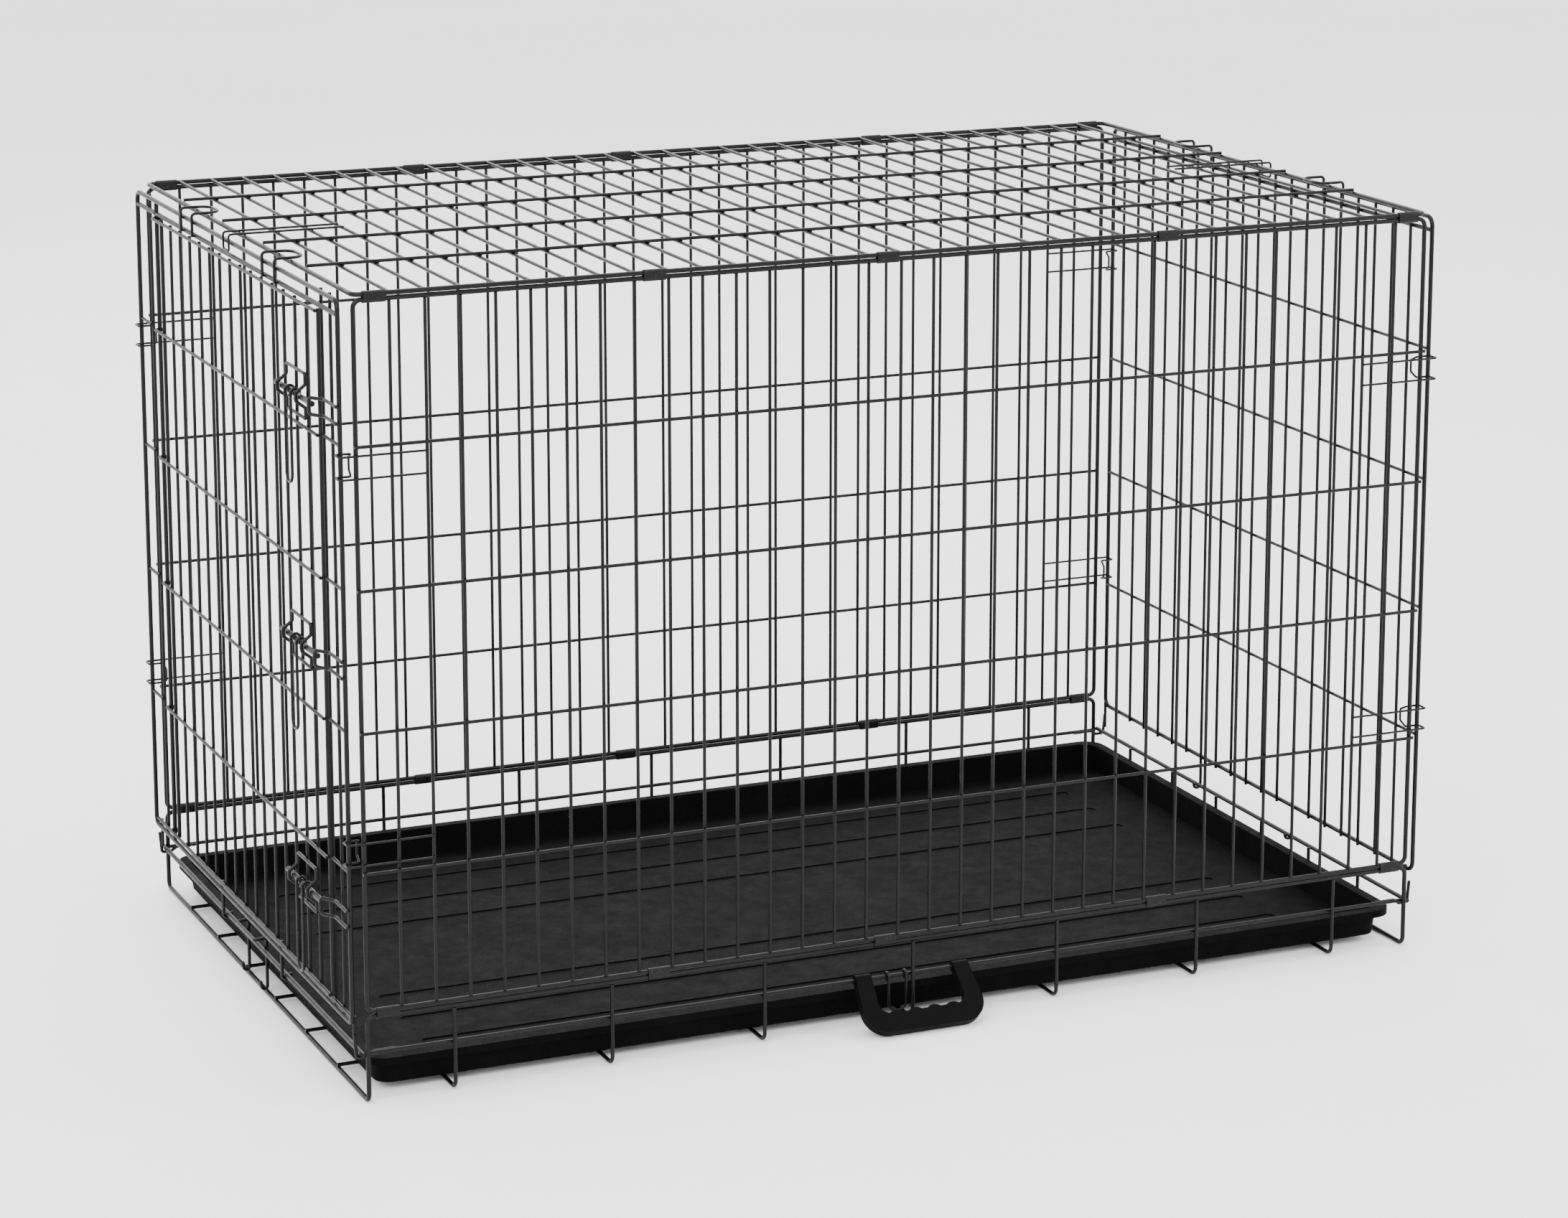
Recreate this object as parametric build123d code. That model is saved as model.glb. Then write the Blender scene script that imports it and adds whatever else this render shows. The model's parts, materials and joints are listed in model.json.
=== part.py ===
from build123d import *
import math
import os

# Folding wire dog crate with a door in its left end, a plastic tray and a carry handle.
# Millimetres. X runs along the crate, -Y is the long side that carries the handle, +Z is up.
# The model is drawn about the middle of the cage and moved at the end, so that the origin is
# the middle of the underside of the whole crate.
# "Out" is a distance outward along X from the middle, the same for the left and the right end.

# Overall sizes
LENGTH = 1219.0              # over the posts of the long panels
WIDTH = 762.0                # over the horizontal wires of the long panels
HEIGHT = 838.0               # floor to the upper wires of the top panel
HINGE_RAIL_Z = 92.0          # base rails that the long panels fold on
SIDE_RAIL_Z = 52.0           # lower base rails, level with the end panels' hinge wires
TRAY_TOP_Z = 41.0

# Wires
FRAME_WIRE = 5.0
GRID_WIRE = 3.6
BASE_WIRE = 4.2
FLOOR_WIRE = 4.0
EDGE_WIRE = 4.4
HOOK_WIRE = 3.2
CATCH_WIRE = 2.4
BOLT_ROD = 6.0
RUNNING_GAP = 0.3            # between a curl and the wire that it turns on
FRAME_BEND = 8.0
END_BEND = 10.0
CROSS_BEND = 9.0

# Grid of the panels
LONG_BAYS = 33               # gaps between the upright wires of a long panel
END_BAYS = 20                # gaps between the upright wires of an end panel
LEVEL_BAYS = 5               # gaps between the horizontal wires of every panel

# Long panels and base, seen from the end
POST_OUT = LENGTH / 2 - FRAME_WIRE / 2
RAIL_Y = WIDTH / 2 - GRID_WIRE - FRAME_WIRE / 2
LONG_LEVEL_Y = RAIL_Y + FRAME_WIRE / 2 + GRID_WIRE / 2
LONG_UPRIGHT_Y = LONG_LEVEL_Y - GRID_WIRE
SIDE_RAIL_Y = RAIL_Y - FRAME_WIRE / 2 - BASE_WIRE / 2
STACK = FRAME_WIRE + 0.3     # between the middles of two rails held by one clip
TOP_RAIL_Z = HEIGHT - GRID_WIRE - FRAME_WIRE / 2
LONG_BOTTOM_Z = HINGE_RAIL_Z + STACK
LONG_TOP_Z = TOP_RAIL_Z - STACK
LONG_PITCH = 2 * POST_OUT / LONG_BAYS
LEVEL_PITCH = (LONG_TOP_Z - LONG_BOTTOM_Z) / LEVEL_BAYS
LEVELS = [LONG_BOTTOM_Z + LEVEL_PITCH * i for i in range(1, LEVEL_BAYS)]

# End panels, from the inside outward: hinge wire, uprights, frame
HINGE_OUT = POST_OUT + FRAME_WIRE
UPRIGHT_OUT = HINGE_OUT + FRAME_WIRE / 2 + RUNNING_GAP + GRID_WIRE / 2
END_FRAME_OUT = UPRIGHT_OUT + GRID_WIRE / 2 + FRAME_WIRE / 2
END_LEVEL_OUT = UPRIGHT_OUT + GRID_WIRE
END_FACE_OUT = END_FRAME_OUT + FRAME_WIRE / 2
END_POST_Y = RAIL_Y - 6.3
END_BOTTOM_Z = 84.0
END_TOP_Z = 826.0
LINTEL_Z = 812.0
END_PITCH = 2 * END_POST_Y / END_BAYS
HINGE_CURL_BAYS = (7, 13)
HINGE_FOOT = 15.0            # straight part of a curled foot above the hinge wire
CORNER_LEG_Y = 361.0

# Door, in the left end
DOOR_EDGE_Y = -308.0
DOOR_BACK_Y = 268.0
DOOR_PIVOT_Y = 289.5
JAMB_Y = -303.0
DOOR_BAYS = 15
DOOR_TOP_Z = 806.5
DOOR_BOTTOM_Z = 97.0
SILL_Z = 90.6
DOOR_LEVEL_OUT = END_FRAME_OUT + FRAME_WIRE / 2 + RUNNING_GAP + GRID_WIRE / 2
DOOR_UPRIGHT_OUT = DOOR_LEVEL_OUT - GRID_WIRE
DOOR_FACE_OUT = DOOR_LEVEL_OUT - GRID_WIRE / 2

# Slide-bolt latches on the door
LATCHES = {"upper": 713.0, "middle": 455.0, "lower": 196.0}
RING_RADIUS = BOLT_ROD / 2 + RUNNING_GAP + HOOK_WIRE / 2
BOLT_OUT = DOOR_FACE_OUT + RUNNING_GAP + RING_RADIUS + HOOK_WIRE / 2
BOLT_TIP_Y = -311.5
BOLT_TAIL_Y = -188.0
BRACKET_Y = (-272.0, -209.0)
BRACKET_HALF_HEIGHT = 23.0
HANDLE_Y = (-254.0, -235.0)
HANDLE_DROP = 92.0
KEEPER_Y = -317.0
KEEPER_HALF_HEIGHT = 8.5

# Base
CROSS_WIRES = 7
CROSS_SPACING = 171.5
FLOOR_WIRE_Y = (55.0, 165.0, 275.0)
FLOOR_WIRE_Z = FRAME_WIRE + FLOOR_WIRE / 2

# Crimped clips that hold two rails together and let one turn
CLIP_BAYS = (0, 8, 15, 24, 32)
CLIP_LENGTH = 24.0
CLIP_SHEET = 0.8
CLIP_GAP = 0.15
CLIP_SHIFT = 3.0             # towards the middle, clear of the frames' bends

# Sprung hooks and catches
HOOK_Y = 152.0
HOOK_WIDTH = 43.0
HOOK_INNER_OUT = 593.0
CATCH_GAP = 23.0
CATCH_LEVELS = (LEVELS[3] - 9.0, LEVELS[0] + 9.0 + CATCH_GAP)
TRAY_STOP_Y = (-22.0, 46.0)

# Tray
TRAY_LENGTH = 1206.0
TRAY_WIDTH = 728.0
TRAY_RIM = 9.0
TRAY_LIP = 8.0
TRAY_WALL = 2.5
TRAY_DRAFT = 9.0
TRAY_CORNER = 24.0
TRAY_FLOOR_Z = FLOOR_WIRE_Z + FLOOR_WIRE / 2 + RUNNING_GAP
GROOVE_Y = (112.0, 184.0, 256.0)
GROOVE_LENGTH = 1020.0
GROOVE_WIDTH = 14.0
GROOVE_DEPTH = 1.2

# Carry handle and the wire latch that holds the folded crate shut
HANDLE_HANG = 45.0           # degrees below level
HANDLE_CLIP_X = 57.0
HANDLE_CLIP = 18.0
HANDLE_EYE = 11.6            # slim enough to pass under the folded end panels
HANDLE_REACH = 66.0
HANDLE_HALF = 72.0
HANDLE_OPENING = 44.0
HANDLE_THICK = 10.0
FOLD_LATCH_X = (-28.0, -7.5)
FOLD_LATCH_REACH = 38.0

# Middle of the whole crate's box, which becomes the origin
LEFT_FACE = BOLT_OUT + BOLT_ROD / 2 + RUNNING_GAP + GRID_WIRE
MIDDLE_X = (END_FACE_OUT + HOOK_WIRE - LEFT_FACE) / 2
HANDLE_FRONT = (HANDLE_REACH + HANDLE_THICK / 2) * math.cos(math.radians(HANDLE_HANG))
MIDDLE_Y = (WIDTH / 2 - SIDE_RAIL_Y - HANDLE_FRONT) / 2


def straight(start, end, diameter):
    """A straight wire with square ends."""
    start, end = Vector(*start), Vector(*end)
    return Solid.make_cylinder(diameter / 2, (end - start).length, Plane(start, z_dir=end - start))


def tube(path, diameter):
    """A round wire along a smooth path."""
    section = Plane(path @ 0, z_dir=path % 0) * Circle(diameter / 2)
    return sweep(section, path=path).solid()


def bent(points, diameter, radius):
    """One bent wire through the points."""
    return tube(Wire(FilletPolyline(*points, radius=radius).edges()), diameter)


def runs_and_bends(points, diameter, radius, close=False):
    """The straight runs and the bends of one wire, each a solid of its own, end to end."""
    path = FilletPolyline(*points, radius=radius, close=close)
    return [
        straight(tuple(edge @ 0), tuple(edge @ 1), diameter)
        if edge.geom_type == GeomType.LINE
        else tube(Wire([edge]), diameter)
        for edge in path.edges()
    ]


def curl(plane, length, radius, wrap, diameter):
    """A straight leg that ends in a curl about the plane's origin."""
    leg = Line((radius, length), (radius, 0))
    ring = CenterArc((0, 0), radius, 0, -wrap)
    path = Wire([plane.from_local_coords(leg), plane.from_local_coords(ring)])
    return tube(path, diameter)


def long_x(bay):
    """Where an upright wire of a long panel stands."""
    return -POST_OUT + bay * LONG_PITCH


def towards_middle(x, amount):
    return x - math.copysign(amount, x)


# Base

def base_frame():
    x, y, low, high = POST_OUT, RAIL_Y, FRAME_WIRE / 2, HINGE_RAIL_Z
    corners = [
        (-x, -y, low), (-x, y, low), (-x, y, high), (x, y, high),
        (x, y, low), (x, -y, low), (x, -y, high), (-x, -y, high),
    ]
    return runs_and_bends(corners, FRAME_WIRE, FRAME_BEND, close=True)


def base_cross_wires():
    low, high = FRAME_WIRE - BASE_WIRE / 2, HINGE_RAIL_Z - FRAME_WIRE / 2
    solids = []
    for i in range(CROSS_WIRES):
        x = (i - (CROSS_WIRES - 1) / 2) * CROSS_SPACING
        u_shape = [(x, -RAIL_Y, high), (x, -RAIL_Y, low), (x, RAIL_Y, low), (x, RAIL_Y, high)]
        solids += runs_and_bends(u_shape, BASE_WIRE, CROSS_BEND)
    return solids


def base_floor_wires():
    """Wires under the tray: they end on the left floor wire and turn up at the right."""
    turn_up = HINGE_OUT - FRAME_WIRE / 2 - FLOOR_WIRE / 2
    solids = []
    for y in FLOOR_WIRE_Y:
        for side in (-y, y):
            l_shape = [
                (-POST_OUT - 2, side, FLOOR_WIRE_Z),
                (turn_up, side, FLOOR_WIRE_Z),
                (turn_up, side, SIDE_RAIL_Z + 1),
            ]
            solids += runs_and_bends(l_shape, FLOOR_WIRE, 6)
    return solids


def base_side_rails():
    return [
        straight((-POST_OUT, y, SIDE_RAIL_Z), (POST_OUT, y, SIDE_RAIL_Z), BASE_WIRE)
        for y in (-SIDE_RAIL_Y, SIDE_RAIL_Y)
    ]


def hinge_wire(side):
    x = side * HINGE_OUT
    return [straight((x, -RAIL_Y, SIDE_RAIL_Z), (x, RAIL_Y, SIDE_RAIL_Z), FRAME_WIRE)]


def corner_hooks():
    """Hooks from the side rails that pass under the hinge wires and rise outside them."""
    y = SIDE_RAIL_Y - BASE_WIRE / 2 - GRID_WIRE / 2
    under = SIDE_RAIL_Z - FRAME_WIRE / 2 - GRID_WIRE / 2 - 0.2
    outside = HINGE_OUT + FRAME_WIRE / 2 + GRID_WIRE / 2 + 0.3
    solids = []
    for x_side in (-1, 1):
        for y_side in (-1, 1):
            path = [
                (x_side * (POST_OUT - 32), y_side * y, SIDE_RAIL_Z),
                (x_side * (POST_OUT - 8), y_side * y, SIDE_RAIL_Z),
                (x_side * (POST_OUT - 1), y_side * y, under),
                (x_side * outside, y_side * y, under),
                (x_side * (outside + 2), y_side * y, SIDE_RAIL_Z + 20),
            ]
            solids.append(bent(path, GRID_WIRE, 3))
    return solids


# Long panels

def rectangle_frame(point, u, low, high, v, bend):
    """A closed frame of straight runs and bends. point turns (u, v) into a place."""
    corners = [point(-u, low), point(v, low), point(v, high), point(-u, high)]
    return runs_and_bends(corners, FRAME_WIRE, bend, close=True)


def long_frame(side):
    def point(x, z):
        return (x, side * RAIL_Y, z)

    return rectangle_frame(point, POST_OUT, LONG_BOTTOM_Z, LONG_TOP_Z, POST_OUT, FRAME_BEND)


def long_uprights(side):
    y = side * LONG_UPRIGHT_Y
    low, high = LONG_BOTTOM_Z + FRAME_WIRE / 2, LONG_TOP_Z - FRAME_WIRE / 2
    return [
        straight((long_x(bay), y, low), (long_x(bay), y, high), GRID_WIRE)
        for bay in range(1, LONG_BAYS)
    ]


def long_levels(side):
    y = side * LONG_LEVEL_Y
    return [straight((-LENGTH / 2, y, z), (LENGTH / 2, y, z), GRID_WIRE) for z in LEVELS]


def clips(side, lower_z):
    """Crimped sheet clips round two rails, one above the other."""
    inner = FRAME_WIRE / 2 + CLIP_GAP
    outer = inner + CLIP_SHEET
    band = SlotCenterToCenter(STACK, 2 * outer, 90) - SlotCenterToCenter(STACK, 2 * inner, 90)
    solids = []
    for bay in CLIP_BAYS:
        x = towards_middle(long_x(bay + 0.5), CLIP_SHIFT)
        start = Plane((x - CLIP_LENGTH / 2, side * RAIL_Y, lower_z + STACK / 2), (0, 1, 0), (1, 0, 0))
        solids.append(extrude(start * band, amount=CLIP_LENGTH).solid())
    return solids


def corner_catches(side):
    """Sprung wires that hook round the end panels' posts, with a thumb loop inside."""
    run_y = RAIL_Y + FRAME_WIRE / 2 + CATCH_WIRE / 2
    inside_y = END_POST_Y - FRAME_WIRE / 2 - CATCH_WIRE / 2 - 0.6
    outside = END_FACE_OUT + CATCH_WIRE / 2 + 0.6
    inside = HINGE_OUT - 3
    solids = []
    for x_side in (-1, 1):
        for top in CATCH_LEVELS:
            half = [
                (-x_side * long_x(2), side * run_y, top),
                (x_side * outside, side * run_y, top),
                (x_side * outside, side * inside_y, top),
                (x_side * inside, side * inside_y, top),
                (x_side * (inside - 1), side * (inside_y - 10), top - 5),
            ]
            back = [(x, y, 2 * top - CATCH_GAP - z) for x, y, z in reversed(half)]
            solids.append(bent(half + back, CATCH_WIRE, 2.5))
    return solids


# Top panel

def top_frame():
    def point(x, y):
        return (x, y, TOP_RAIL_Z)

    return rectangle_frame(point, POST_OUT, -RAIL_Y, RAIL_Y, POST_OUT, FRAME_BEND)


def top_cross_wires():
    z = TOP_RAIL_Z + FRAME_WIRE / 2 - GRID_WIRE / 2
    y = RAIL_Y - FRAME_WIRE / 2
    return [straight((long_x(bay), -y, z), (long_x(bay), y, z), GRID_WIRE) for bay in range(1, LONG_BAYS)]


def top_long_wires():
    z = TOP_RAIL_Z + FRAME_WIRE / 2 + GRID_WIRE / 2
    pitch = 2 * RAIL_Y / LEVEL_BAYS
    places = [-RAIL_Y + pitch * i for i in range(1, LEVEL_BAYS)]
    return [straight((-POST_OUT, y, z), (POST_OUT, y, z), GRID_WIRE) for y in places]


def top_end_catches():
    """Sprung loops over the end panels' top rails."""
    z = TOP_RAIL_Z + FRAME_WIRE / 2 + CATCH_WIRE / 2
    outside = END_FACE_OUT + CATCH_WIRE / 2 + 0.4
    solids = []
    for side in (-1, 1):
        start = side * (POST_OUT - 108)
        loop = [
            (start, -10, z), (side * outside, -10, z), (side * outside, -10, LINTEL_Z + 6),
            (side * outside, 10, LINTEL_Z + 6), (side * outside, 10, z), (start, 10, z),
        ]
        solids.append(bent(loop, CATCH_WIRE, 3))
    return solids


# End panels

def end_frame(side):
    def point(y, z):
        return (side * END_FRAME_OUT, y, z)

    return rectangle_frame(point, END_POST_Y, END_BOTTOM_Z, END_TOP_Z, END_POST_Y, END_BEND)


def end_y(bay):
    return -END_POST_Y + bay * END_PITCH


def end_upright(side, y, low=END_BOTTOM_Z - 2, high=END_TOP_Z + 2):
    x = side * UPRIGHT_OUT
    return straight((x, y, low), (x, y, high), GRID_WIRE)


def corner_legs(side):
    """Short legs below the bottom rail, beside the base's corner hooks."""
    return [
        end_upright(side, y, SIDE_RAIL_Z + 5, END_BOTTOM_Z + 6) for y in (-CORNER_LEG_Y, CORNER_LEG_Y)
    ]


def end_level(side, z, start, end, diameter=GRID_WIRE, out=END_LEVEL_OUT):
    return straight((side * out, start, z), (side * out, end, z), diameter)


def hinge_curls(side, top):
    """Upright wires that curl under the hinge wire, each as a straight run and its curled foot."""
    radius = UPRIGHT_OUT - HINGE_OUT
    solids = []
    for bay in HINGE_CURL_BAYS:
        plane = Plane((side * HINGE_OUT, end_y(bay), SIDE_RAIL_Z), (side, 0, 0), (0, -side, 0))
        solids.append(curl(plane, HINGE_FOOT, radius, 200, GRID_WIRE))
        solids.append(end_upright(side, end_y(bay), SIDE_RAIL_Z + HINGE_FOOT, top))
    return solids


def top_hooks(side):
    """Wide loops from the lintel over the top panel's end rail."""
    out = END_FACE_OUT + HOOK_WIRE / 2
    z = TOP_RAIL_Z + FRAME_WIRE / 2 + RUNNING_GAP + HOOK_WIRE / 2
    solids = []
    for y in (-HOOK_Y, HOOK_Y):
        near, far = y - HOOK_WIDTH / 2, y + HOOK_WIDTH / 2
        loop = [
            (side * out, near, LINTEL_Z - 1), (side * out, near, z), (side * HOOK_INNER_OUT, near, z),
            (side * HOOK_INNER_OUT, far, z), (side * out, far, z), (side * out, far, LINTEL_Z - 1),
        ]
        solids.append(bent(loop, HOOK_WIRE, (4, 14, 14, 4)))
    return solids


def left_uprights():
    """Upright wires in the strips beside the door, and the jamb behind the door's edge."""
    strips = [end_upright(-1, y) for y in (end_y(1), end_y(END_BAYS - 1), JAMB_Y)]
    return strips + corner_legs(-1)


def left_stubs():
    """Short horizontal wires in the strips beside the door, clear of the door's swing."""
    inner = END_POST_Y - FRAME_WIRE / 2
    edge = DOOR_EDGE_Y - EDGE_WIRE / 2 - GRID_WIRE / 2
    back = end_y(END_BAYS - 1) - 5
    strips = ((-inner, edge), (back, inner))
    return [end_level(-1, z, start, end) for start, end in strips for z in LEVELS]


def crossbar(z, diameter, out, inner):
    """A bar over or under the door, between the posts and the pivot wire."""
    before, after = DOOR_PIVOT_Y - FRAME_WIRE / 2, DOOR_PIVOT_Y + FRAME_WIRE / 2
    return [end_level(-1, z, -inner, before, diameter, out), end_level(-1, z, after, inner, diameter, out)]


def door_pivot_wire():
    x, y = -END_FRAME_OUT, DOOR_PIVOT_Y
    low, high = END_BOTTOM_Z + FRAME_WIRE / 2, END_TOP_Z - FRAME_WIRE / 2
    return [straight((x, y, low), (x, y, high), FRAME_WIRE)]


def bolt_keepers():
    """U-shaped loops on the front strip that the bolts slide under."""
    foot = END_FACE_OUT + GRID_WIRE / 2
    bridge = BOLT_OUT + BOLT_ROD / 2 + RUNNING_GAP + 0.2 + GRID_WIRE / 2
    solids = []
    for z in LATCHES.values():
        low, high = z - KEEPER_HALF_HEIGHT, z + KEEPER_HALF_HEIGHT
        half = [(-foot, -END_POST_Y - 4, high), (-foot, KEEPER_Y - 16, high), (-bridge, KEEPER_Y, high)]
        back = [(x, y, low) for x, y, _ in reversed(half)]
        solids.append(bent(half + back, GRID_WIRE, 4))
    return solids


def right_uprights():
    plain = [bay for bay in range(1, END_BAYS) if bay not in HINGE_CURL_BAYS]
    return [end_upright(1, end_y(bay)) for bay in plain] + corner_legs(1)


def right_levels():
    inner = END_POST_Y - FRAME_WIRE / 2
    return [end_level(1, z, -inner, inner) for z in LEVELS]


def right_lintel():
    inner = END_POST_Y - FRAME_WIRE / 2
    return [end_level(1, LINTEL_Z, -inner, inner, FRAME_WIRE, END_FRAME_OUT)]


# Door

def door_edge_wires():
    x = -(DOOR_FACE_OUT - EDGE_WIRE / 2)
    low, high = DOOR_BOTTOM_Z - 2, DOOR_TOP_Z + 1.8
    return [straight((x, y, low), (x, y, high), EDGE_WIRE) for y in (DOOR_EDGE_Y, DOOR_BACK_Y)]


def door_uprights():
    pitch = (DOOR_BACK_Y - DOOR_EDGE_Y) / DOOR_BAYS
    x, low, high = -DOOR_UPRIGHT_OUT, DOOR_BOTTOM_Z - 2, DOOR_TOP_Z + 1.8
    places = [DOOR_EDGE_Y + pitch * bay for bay in range(1, DOOR_BAYS)]
    return [straight((x, y, low), (x, y, high), GRID_WIRE) for y in places]


def door_heights():
    return [DOOR_BOTTOM_Z, *LEVELS, DOOR_TOP_Z]


def door_levels():
    x = -DOOR_LEVEL_OUT
    return [
        straight((x, DOOR_EDGE_Y - EDGE_WIRE / 2, z), (x, DOOR_PIVOT_Y, z), GRID_WIRE)
        for z in door_heights()
    ]


def door_pivot_curls():
    """The curled ends of the door's horizontal wires, round the pivot wire."""
    radius = DOOR_LEVEL_OUT - END_FRAME_OUT
    solids = []
    for z in door_heights():
        plane = Plane((-END_FRAME_OUT, DOOR_PIVOT_Y, z), (-1, 0, 0), (0, 0, 1))
        ring = plane.from_local_coords(CenterArc((0, 0), radius, 0, -240))
        solids.append(tube(Wire([ring]), GRID_WIRE))
    return solids


def latch_brackets():
    """Closed loops on the door whose two legs bulge outward round the bolt."""
    foot = DOOR_FACE_OUT + GRID_WIRE / 2
    bulge = BOLT_OUT + BOLT_ROD / 2 + RUNNING_GAP + GRID_WIRE / 2
    near, far = BRACKET_Y
    solids = []
    for z in LATCHES.values():
        heights = (BRACKET_HALF_HEIGHT, 12, 4, -4, -12, -BRACKET_HALF_HEIGHT)
        outs = (foot, foot, bulge, bulge, foot, foot)
        leg = [(-out, near, z + height) for out, height in zip(outs, heights)]
        loop = leg + [(x, far, height) for x, _, height in reversed(leg)]
        path = FilletPolyline(*loop, radius=2.5, close=True)
        solids.append(tube(Wire(path.edges()), GRID_WIRE))
    return solids


def bolt(z):
    """A slide bolt with a rounded tip."""
    rod = straight((-BOLT_OUT, BOLT_TIP_Y, z), (-BOLT_OUT, BOLT_TAIL_Y, z), BOLT_ROD)
    return [fillet(rod.edges().filter_by(GeomType.CIRCLE), BOLT_ROD * 0.3).solid()]


def latch_handle(z):
    """A hairpin wire that hangs from two rings round the bolt."""
    near, far = HANDLE_Y
    radius = (far - near) / 2
    x, low = -(BOLT_OUT + RING_RADIUS), z - HANDLE_DROP + radius
    legs = [Line((x, near, z), (x, near, low)), Line((x, far, low), (x, far, z))]
    turn = ThreePointArc((x, near, low), (x, near + radius, low - radius), (x, far, low))
    rings = []
    for y in HANDLE_Y:
        plane = Plane((-BOLT_OUT, y, z), (-1, 0, 0), (0, -1, 0))
        rings.append(plane.from_local_coords(CenterArc((0, 0), RING_RADIUS, 0, -290)))
    path = Wire([rings[0], legs[0], turn, legs[1], rings[1]])
    return [tube(path, HOOK_WIRE)]


# Tray

def tray_layer(z, inset, height, taper=0.0):
    length, width = TRAY_LENGTH - 2 * inset, TRAY_WIDTH - 2 * inset
    face = Plane.XY.offset(z) * RectangleRounded(length, width, TRAY_CORNER - inset / 2)
    return extrude(face, amount=height, taper=taper)


def tray():
    """A shallow moulded tray with sloping walls, a flat rim and a lip that turns down."""
    depth = TRAY_TOP_Z - TRAY_FLOOR_Z
    slope = depth * math.tan(math.radians(TRAY_DRAFT))
    outer = tray_layer(TRAY_FLOOR_Z, TRAY_RIM + slope, depth, -TRAY_DRAFT)
    rim = tray_layer(TRAY_TOP_Z - TRAY_WALL, 0, TRAY_WALL)
    lip_z = TRAY_TOP_Z - TRAY_LIP
    lip = tray_layer(lip_z, 0, TRAY_LIP) - tray_layer(lip_z, TRAY_WALL, TRAY_LIP)
    floor = TRAY_FLOOR_Z + TRAY_WALL
    hollow = tray_layer(floor, TRAY_RIM + TRAY_WALL + slope, depth, -TRAY_DRAFT)
    body = (outer + rim + lip) - hollow
    for y in GROOVE_Y:
        for side in (-y, y):
            slot = Pos(0, side, floor - GROOVE_DEPTH) * SlotOverall(GROOVE_LENGTH, GROOVE_WIDTH)
            body -= extrude(slot, amount=GROOVE_DEPTH * 2)
    return [body.solid()]


def tray_stop():
    """A sprung wire that hooks over the left hinge wire and keeps the tray in."""
    inside = HINGE_OUT - FRAME_WIRE / 2 - 0.5 - GRID_WIRE / 2
    toe = FRAME_WIRE + RUNNING_GAP + GRID_WIRE / 2
    near, far = TRAY_STOP_Y
    half = [
        (-(inside + 7.5), near, toe + 9), (-(inside + 6), near, toe), (-inside, near, toe),
        (-inside, near, SIDE_RAIL_Z + 13), (-(inside + 13), near, SIDE_RAIL_Z + 11),
    ]
    back = [(x, far, z) for x, _, z in reversed(half)]
    return [bent(half + back, GRID_WIRE, 2.9)]


# Carry handle and fold latch

def carry_handle():
    """A flat grip with a scalloped inside edge, on two clips round the front side rail."""
    def flared(half, flare, reach, bend):
        corners = [(-half, 0), (half, 0), (half + flare, -reach), (-half - flare, -reach)]
        shape = Polygon(*corners, align=None)
        return fillet(shape.vertices().group_by(Axis.Y)[0], bend)

    outer = flared(HANDLE_HALF - 6, 6, HANDLE_REACH, 26)
    hole = flared(HANDLE_CLIP_X - HANDLE_CLIP / 2, 3, HANDLE_OPENING, 12)
    bumps = Sketch() + [Pos(x, -HANDLE_OPENING - 10) * Circle(12.5) for x in (-33, -11, 11, 33)]
    outline = outer - (hole - bumps)
    grip = extrude(Plane.XZ * outline, amount=HANDLE_THICK / 2, both=True)
    eye = Cylinder(HANDLE_EYE / 2, HANDLE_CLIP, rotation=(0, 90, 0))
    solid = grip + [Pos(x, 0, 0) * eye for x in (-HANDLE_CLIP_X, HANDLE_CLIP_X)]
    bore = Cylinder(BASE_WIRE / 2 + RUNNING_GAP, 4 * HANDLE_CLIP_X, rotation=(0, 90, 0))
    solid = solid - bore
    turned = Rot(X=HANDLE_HANG - 90) * solid
    return [(Pos(0, -SIDE_RAIL_Y, SIDE_RAIL_Z) * turned).solid()]


def fold_latch():
    """A wire loop with two curls round the front side rail."""
    radius = BASE_WIRE / 2 + RUNNING_GAP + HOOK_WIRE / 2
    near, far = FOLD_LATCH_X
    half = (far - near) / 2
    y, low = -SIDE_RAIL_Y - radius, SIDE_RAIL_Z - FOLD_LATCH_REACH + half
    legs = [Line((near, y, SIDE_RAIL_Z), (near, y, low)), Line((far, y, low), (far, y, SIDE_RAIL_Z))]
    turn = ThreePointArc((near, y, low), (near + half, y, low - half), (far, y, low))
    rings = []
    for x in FOLD_LATCH_X:
        plane = Plane((x, -SIDE_RAIL_Y, SIDE_RAIL_Z), (0, -1, 0), (1, 0, 0))
        rings.append(plane.from_local_coords(CenterArc((0, 0), radius, 0, -260)))
    path = Wire([rings[0], legs[0], turn, legs[1], rings[1]])
    return [tube(path, HOOK_WIRE)]


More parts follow.
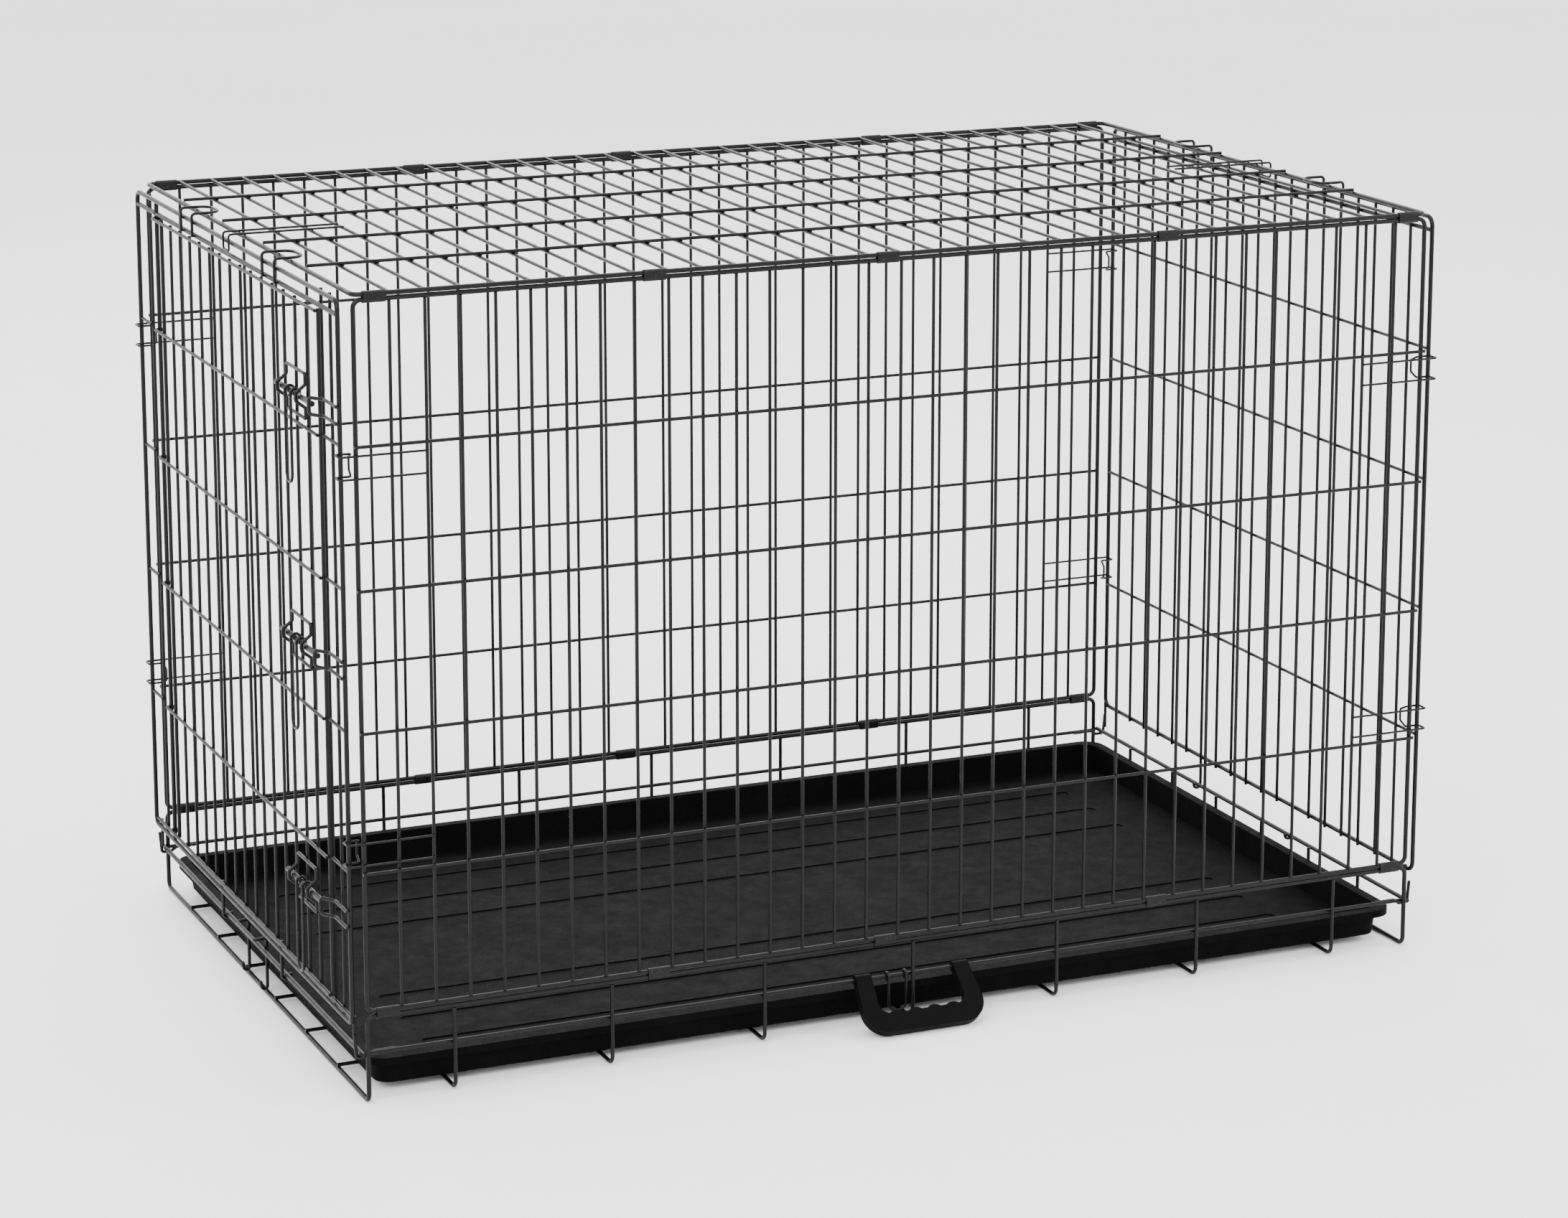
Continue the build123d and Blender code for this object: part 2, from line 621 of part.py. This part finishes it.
def sub_parts():
    """Every sub-part's name and its solids."""
    parts = {
        "base_frame": base_frame(),
        "base_cross_wires": base_cross_wires(),
        "base_floor_wires": base_floor_wires(),
        "base_side_rails": base_side_rails(),
        "left_hinge_wire": hinge_wire(-1),
        "right_hinge_wire": hinge_wire(1),
        "corner_hooks": corner_hooks(),
    }
    for name, side in (("front", -1), ("back", 1)):
        parts[f"{name}_frame"] = long_frame(side)
        parts[f"{name}_uprights"] = long_uprights(side)
        parts[f"{name}_level_wires"] = long_levels(side)
        parts[f"{name}_top_clips"] = clips(side, LONG_TOP_Z)
        parts[f"{name}_bottom_clips"] = clips(side, HINGE_RAIL_Z)
        parts[f"{name}_corner_catches"] = corner_catches(side)
    parts |= {
        "top_frame": top_frame(),
        "top_cross_wires": top_cross_wires(),
        "top_long_wires": top_long_wires(),
        "top_end_catches": top_end_catches(),
        "left_end_frame": end_frame(-1),
        "left_end_uprights": left_uprights(),
        "left_end_stubs": left_stubs(),
        "left_hinge_curls": hinge_curls(-1, SILL_Z),
        "left_top_hooks": top_hooks(-1),
        "door_lintel": crossbar(LINTEL_Z, FRAME_WIRE, END_FRAME_OUT, END_POST_Y - FRAME_WIRE / 2),
        "door_sill": crossbar(SILL_Z, GRID_WIRE, END_LEVEL_OUT, END_POST_Y - FRAME_WIRE),
        "door_pivot_wire": door_pivot_wire(),
        "bolt_keepers": bolt_keepers(),
        "right_end_frame": end_frame(1),
        "right_end_uprights": right_uprights(),
        "right_end_level_wires": right_levels(),
        "right_end_lintel": right_lintel(),
        "right_hinge_curls": hinge_curls(1, END_TOP_Z + 2),
        "right_top_hooks": top_hooks(1),
        "door_edge_wires": door_edge_wires(),
        "door_uprights": door_uprights(),
        "door_level_wires": door_levels(),
        "door_pivot_curls": door_pivot_curls(),
        "latch_brackets": latch_brackets(),
        "tray": tray(),
        "tray_stop": tray_stop(),
        "carry_handle": carry_handle(),
        "fold_latch": fold_latch(),
    }
    for name, z in LATCHES.items():
        parts[f"{name}_bolt"] = bolt(z)
        parts[f"{name}_latch_handle"] = latch_handle(z)
    return parts


to_origin = Location((-MIDDLE_X, -MIDDLE_Y, 0))
os.makedirs("parts", exist_ok=True)
for node, solids in sub_parts().items():
    export_step(Compound(solids).moved(to_origin), f"parts/{node}.step")
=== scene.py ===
import json
import math

import bmesh
import bpy
from mathutils import Euler, Matrix, Vector


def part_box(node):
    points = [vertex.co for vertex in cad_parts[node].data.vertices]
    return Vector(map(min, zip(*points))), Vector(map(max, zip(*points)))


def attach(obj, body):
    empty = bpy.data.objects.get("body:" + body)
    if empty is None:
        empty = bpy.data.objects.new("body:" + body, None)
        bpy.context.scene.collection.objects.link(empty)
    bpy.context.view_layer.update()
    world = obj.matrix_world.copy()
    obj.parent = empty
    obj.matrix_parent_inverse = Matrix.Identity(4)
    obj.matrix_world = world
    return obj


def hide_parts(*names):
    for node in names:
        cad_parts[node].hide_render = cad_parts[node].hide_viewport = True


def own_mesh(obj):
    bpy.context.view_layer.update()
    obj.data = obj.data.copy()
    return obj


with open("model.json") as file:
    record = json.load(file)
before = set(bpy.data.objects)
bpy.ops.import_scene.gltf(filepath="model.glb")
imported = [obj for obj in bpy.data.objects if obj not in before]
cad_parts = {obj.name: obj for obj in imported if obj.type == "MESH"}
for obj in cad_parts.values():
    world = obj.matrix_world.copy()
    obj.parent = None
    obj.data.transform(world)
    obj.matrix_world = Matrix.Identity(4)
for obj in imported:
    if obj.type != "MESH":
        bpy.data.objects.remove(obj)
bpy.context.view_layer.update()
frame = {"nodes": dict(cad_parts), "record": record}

IMAGE_WIDTH = 2184

WELD_RADIUS = 0.0017


# Materials

class Nodes:
    """Short ways to make and link a material's nodes."""

    def __init__(self, name):
        self.material = bpy.data.materials.new(name)
        self.material.use_nodes = True
        self.tree = self.material.node_tree
        self.shader = self.tree.nodes["Principled BSDF"]
        self.coords = self.add("ShaderNodeTexCoord").outputs["Object"]

    def add(self, kind, **values):
        node = self.tree.nodes.new(kind)
        for key, value in values.items():
            setattr(node, key, value)
        return node

    def link(self, source, target):
        self.tree.links.new(source, target)

    def noise(self, scale, detail=4.0, roughness=0.5):
        node = self.add("ShaderNodeTexNoise")
        node.inputs["Scale"].default_value = scale
        node.inputs["Detail"].default_value = detail
        node.inputs["Roughness"].default_value = roughness
        self.link(self.coords, node.inputs["Vector"])
        return node.outputs["Fac"]

    def ramp(self, source, stops):
        node = self.add("ShaderNodeValToRGB")
        ramp = node.color_ramp
        for element, (place, colour) in zip(ramp.elements, stops):
            element.position = place
            element.color = (*colour, 1)
        for place, colour in stops[2:]:
            ramp.elements.new(place).color = (*colour, 1)
        self.link(source, node.inputs["Fac"])
        return node.outputs["Color"]

    def span(self, source, low, high, from_low=0.3, from_high=0.7):
        node = self.add("ShaderNodeMapRange")
        node.inputs["From Min"].default_value = from_low
        node.inputs["From Max"].default_value = from_high
        node.inputs["To Min"].default_value = low
        node.inputs["To Max"].default_value = high
        self.link(source, node.inputs["Value"])
        return node.outputs["Result"]

    def mix(self, factor, first, second):
        node = self.add("ShaderNodeMix", data_type="RGBA")
        self.link(factor, node.inputs["Factor"])
        for value, socket in ((first, node.inputs[6]), (second, node.inputs[7])):
            if isinstance(value, tuple):
                socket.default_value = (*value, 1)
            else:
                self.link(value, socket)
        return node.outputs[2]

    def upward(self):
        """1 where a surface faces up, 0 where it faces sideways or down."""
        geometry = self.add("ShaderNodeNewGeometry")
        split = self.add("ShaderNodeSeparateXYZ")
        self.link(geometry.outputs["Normal"], split.inputs[0])
        return self.span(split.outputs["Z"], 0, 1, 0.3, 1.0)

    def multiply(self, first, second):
        node = self.add("ShaderNodeMath", operation="MULTIPLY")
        self.link(first, node.inputs[0])
        self.link(second, node.inputs[1])
        return node.outputs[0]

    def bump(self, layers):
        """Bump nodes in a row: (height, strength, distance) for each."""
        normal = None
        for height, strength, distance in layers:
            node = self.add("ShaderNodeBump")
            node.inputs["Strength"].default_value = strength
            node.inputs["Distance"].default_value = distance
            self.link(height, node.inputs["Height"])
            if normal:
                self.link(normal, node.inputs["Normal"])
            normal = node.outputs["Normal"]
        self.link(normal, self.shader.inputs["Normal"])


def coated_wire(name, base, light, rough, dust=0.015, wear=0.0):
    """Black electro-coat: satin, slightly pebbled, with dust on top and wear where wires rub."""
    m = Nodes(name)
    blotch = m.noise(22, 5, 0.6)
    colour = m.ramp(blotch, [(0.35, base), (0.7, light)])
    dusty = m.multiply(m.upward(), m.span(m.noise(160, 6, 0.7), 0, dust, 0.45, 0.75))
    colour = m.mix(dusty, colour, (0.16, 0.15, 0.14))
    if wear:
        rubbed = m.span(m.noise(420, 3, 0.6), 0, wear, 0.62, 0.7)
        colour = m.mix(rubbed, colour, (0.23, 0.23, 0.235))
    m.link(colour, m.shader.inputs["Base Color"])
    m.link(m.span(m.noise(90, 4, 0.6), rough - 0.07, rough + 0.1), m.shader.inputs["Roughness"])
    m.shader.inputs["Specular IOR Level"].default_value = 0.16
    m.shader.inputs["Coat Weight"].default_value = 0.03
    m.shader.inputs["Coat Roughness"].default_value = 0.22
    m.bump([(m.noise(900, 2, 0.5), 0.12, 0.0004), (m.noise(70, 3, 0.5), 0.1, 0.0008)])
    return m.material


def grained_plastic(name, base, light, rough, cell, depth, dust):
    """Moulded black plastic with a pebbled leather grain."""
    m = Nodes(name)
    cells = m.add("ShaderNodeTexVoronoi", feature="DISTANCE_TO_EDGE")
    cells.inputs["Scale"].default_value = cell
    m.link(m.coords, cells.inputs["Vector"])
    pebbles = m.span(cells.outputs["Distance"], 0, 1, 0.0, 0.25)
    colour = m.ramp(m.noise(9, 6, 0.6), [(0.3, base), (0.75, light)])
    dusty = m.multiply(m.upward(), m.span(m.noise(34, 8, 0.72), 0, dust, 0.42, 0.8))
    m.link(m.mix(dusty, colour, (0.13, 0.125, 0.12)), m.shader.inputs["Base Color"])
    m.link(m.span(m.noise(45, 5, 0.6), rough - 0.06, rough + 0.08), m.shader.inputs["Roughness"])
    m.shader.inputs["Specular IOR Level"].default_value = 0.03
    m.bump([(m.noise(1400, 2, 0.5), 0.15, 0.0003), (pebbles, 0.5, depth)])
    return m.material


def studio_floor(name):
    m = Nodes(name)
    m.link(m.ramp(m.noise(1.1, 3, 0.5), [(0.3, (0.90, 0.90, 0.895)), (0.7, (0.93, 0.93, 0.925))]),
           m.shader.inputs["Base Color"])
    m.link(m.span(m.noise(12, 4, 0.5), 0.6, 0.72), m.shader.inputs["Roughness"])
    return m.material


SLOT_MATERIALS = {
    "black_wire": coated_wire(
        "black_coat", (0.0008, 0.0008, 0.00085), (0.0018, 0.0018, 0.0019), 0.36),
    "latch_wire": coated_wire(
        "latch_coat", (0.0010, 0.0010, 0.00105), (0.0022, 0.0022, 0.0023), 0.32, 0.02, 0.16),
    "spring_wire": coated_wire(
        "spring_coat", (0.0009, 0.0009, 0.00095), (0.002, 0.002, 0.0021), 0.34, 0.02, 0.06),
    "clip_steel": coated_wire(
        "clip_coat", (0.0008, 0.0008, 0.00085), (0.002, 0.002, 0.0021), 0.42, 0.02, 0.08),
    "tray_plastic": grained_plastic(
        "tray_grain", (0.0008, 0.0008, 0.0009), (0.0018, 0.0018, 0.0019), 0.62, 420, 0.0008, 0.006),
    "handle_plastic": grained_plastic(
        "handle_grain", (0.0012, 0.0012, 0.0013), (0.0024, 0.0024, 0.0025), 0.5, 900, 0.0003, 0.01),
}

for entry in frame["record"]["subparts"]:
    node = frame["nodes"][entry["node"]]
    node.data.materials.clear()
    node.data.materials.append(SLOT_MATERIALS[entry["material_slot"]])
    for polygon in node.data.polygons:
        polygon.use_smooth = True
    smooth = node.modifiers.new("smooth", "EDGE_SPLIT")
    smooth.split_angle = math.radians(32)


# Pieces

def add_piece(name, mesh, body, slot):
    obj = bpy.data.objects.new(name, mesh)
    bpy.context.scene.collection.objects.link(obj)
    obj.data.materials.append(SLOT_MATERIALS[slot])
    for polygon in obj.data.polygons:
        polygon.use_smooth = True
    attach(obj, body)
    return obj


def rows(node, axis, count):
    """The middles of a row of equal round wires along an axis, and their radius."""
    low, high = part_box(node)
    thin = min(range(3), key=lambda i: high[i] - low[i])
    radius = (high[thin] - low[thin]) / 2
    first, last = low[axis] + radius, high[axis] - radius
    return [first + (last - first) * i / (count - 1) for i in range(count)], radius


def weld_nuggets(name, body, places, stretch):
    """Small flattened beads of weld where wires cross."""
    bm = bmesh.new()
    for i, place in enumerate(places):
        scale = 0.9 + 0.16 * math.sin(i * 2.4)
        turn = Euler((0, 0, i * 1.7)).to_matrix().to_4x4()
        shape = Matrix.Diagonal((*[WELD_RADIUS * scale * s for s in stretch], 1))
        matrix = Matrix.Translation(place) @ shape @ turn
        bmesh.ops.create_icosphere(bm, subdivisions=2, radius=1, matrix=matrix)
    mesh = bpy.data.meshes.new(name)
    bm.to_mesh(mesh)
    bm.free()
    return add_piece(name, mesh, body, "black_wire")


def long_panel_welds(side):
    xs, radius = rows(f"{side}_uprights", 0, 32)
    zs, _ = rows(f"{side}_level_wires", 2, 4)
    low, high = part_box(f"{side}_uprights")
    outer_low, outer_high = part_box(f"{side}_level_wires")
    y = ((low[1] + high[1]) / 2 + (outer_low[1] + outer_high[1]) / 2) / 2
    places = [Vector((x + dx, y, z)) for x in xs for z in zs for dx in (-radius, radius)]
    weld_nuggets(f"{side}_welds", f"{side}_panel", places, (1, 0.8, 1))


def top_panel_welds():
    xs, radius = rows("top_cross_wires", 0, 32)
    ys, _ = rows("top_long_wires", 1, 4)
    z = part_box("top_long_wires")[0][2]
    places = [Vector((x + dx, y, z)) for x in xs for y in ys for dx in (-radius, radius)]
    weld_nuggets("top_welds", "top_panel", places, (1, 1, 0.8))


def floor_welds():
    """Welds where the wires under the tray cross the base's cross wires."""
    xs, _ = rows("base_cross_wires", 0, 7)
    ys, radius = rows("base_floor_wires", 1, 6)
    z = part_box("base_floor_wires")[0][2]
    places = [Vector((x, y + dy, z)) for x in xs for y in ys for dy in (-radius, radius)]
    weld_nuggets("floor_welds", "base", places, (1.1, 1, 0.8))


def flexing_tray_stop():
    """The tray stop's sprung wire, copied as a piece of its own on the tray stop's body."""
    stop = frame["nodes"]["tray_stop"]
    mesh = stop.data.copy()
    mesh.materials.clear()
    piece = add_piece("tray_stop_spring", mesh, "tray_stop", "black_wire")
    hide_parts("tray_stop")
    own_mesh(piece)


for panel in ("front", "back"):
    long_panel_welds(panel)
top_panel_welds()
floor_welds()
flexing_tray_stop()


# Studio

def floor():
    bm = bmesh.new()
    bmesh.ops.create_grid(bm, x_segments=2, y_segments=2, size=60)
    mesh = bpy.data.meshes.new("studio_floor")
    bm.to_mesh(mesh)
    bm.free()
    obj = bpy.data.objects.new("studio_floor", mesh)
    bpy.context.scene.collection.objects.link(obj)
    mesh.materials.append(studio_floor("studio_floor"))


def area_light(name, place, target, size, power):
    light = bpy.data.lights.new(name, "AREA")
    light.shape = "RECTANGLE"
    light.size, light.size_y = size
    light.energy = power
    obj = bpy.data.objects.new(name, light)
    obj.location = place
    obj.rotation_euler = (Vector(target) - Vector(place)).to_track_quat("-Z", "Y").to_euler()
    bpy.context.scene.collection.objects.link(obj)


def studio_light():
    middle = (0, 0, 0.4)
    area_light("key", (-2.6, -3.2, 3.6), middle, (2.6, 2.6), 190)
    area_light("fill", (3.6, -2.4, 2.4), middle, (3, 2.4), 80)
    area_light("back", (0.6, 4.2, 3.2), middle, (4, 2), 110)
    area_light("over", (0, 0, 4.4), middle, (3.4, 3.4), 90)
    world = bpy.context.scene.world or bpy.data.worlds.new("studio")
    bpy.context.scene.world = world
    world.use_nodes = True
    background = world.node_tree.nodes["Background"]
    background.inputs["Color"].default_value = (0.93, 0.93, 0.94, 1)
    background.inputs["Strength"].default_value = 2.6


def camera():
    """The photograph's viewing angle: from the front left, a little above the crate."""
    azimuth, elevation = math.radians(23.5), math.radians(11.8)
    data = bpy.data.cameras.new("camera")
    data.sensor_width = 36
    data.lens = 98.3
    data.shift_y = -300 / IMAGE_WIDTH
    data.clip_end = 60
    obj = bpy.data.objects.new("camera", data)
    obj.location = (-1.849, -4.276, 1.589)
    ahead = Vector((
        math.sin(azimuth) * math.cos(elevation),
        math.cos(azimuth) * math.cos(elevation),
        -math.sin(elevation),
    ))
    obj.rotation_euler = ahead.to_track_quat("-Z", "Y").to_euler()
    bpy.context.scene.collection.objects.link(obj)
    bpy.context.scene.camera = obj


floor()
studio_light()
camera()
